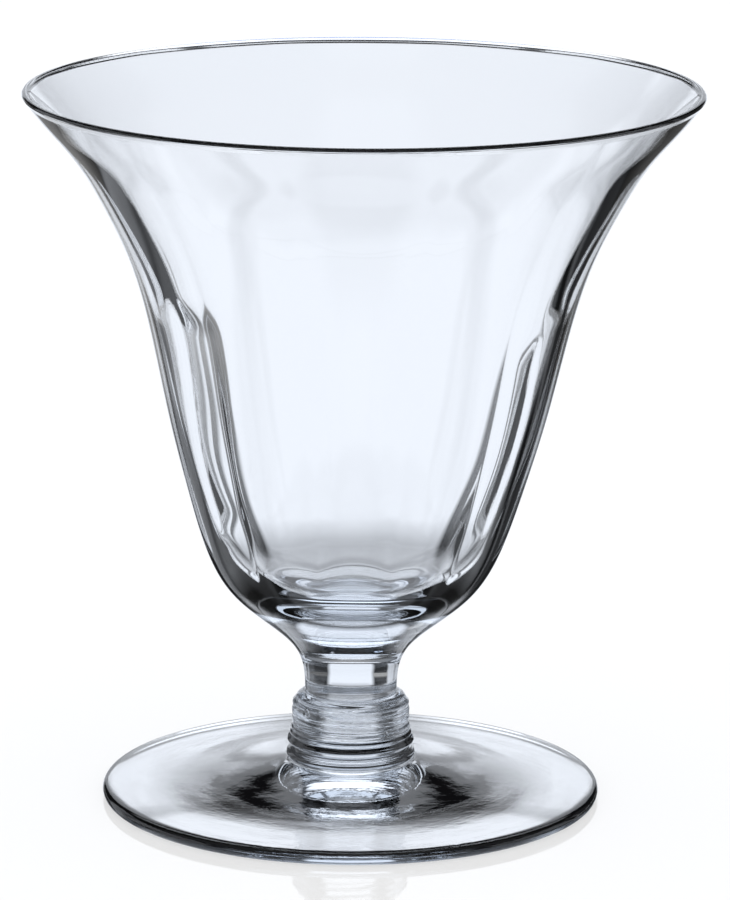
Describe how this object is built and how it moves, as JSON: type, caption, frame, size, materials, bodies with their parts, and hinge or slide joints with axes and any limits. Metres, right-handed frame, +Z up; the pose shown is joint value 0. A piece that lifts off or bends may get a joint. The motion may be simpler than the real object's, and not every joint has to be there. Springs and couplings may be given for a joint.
{
  "type": "seafood cocktail glass",
  "caption": "Footed clear glass with a flared, optic-panelled bowl on a short turned stem, for serving seafood cocktail or a cold dessert.",
  "frame": {"origin": "middle of the foot, in the plane that the glass stands on", "axes": "+Z up along the axis of the glass, from the foot to the lip; the middle of a panel of the bowl lies on each of +X, -X, +Y and -Y"},
  "size_m": [0.107, 0.107, 0.1145],
  "materials": {
    "clear_glass": "clear, fire-polished, with a faint cool tint"
  },
  "bodies": {
    "root": {"cocktail_glass": "clear_glass"}
  },
  "joints": []
}
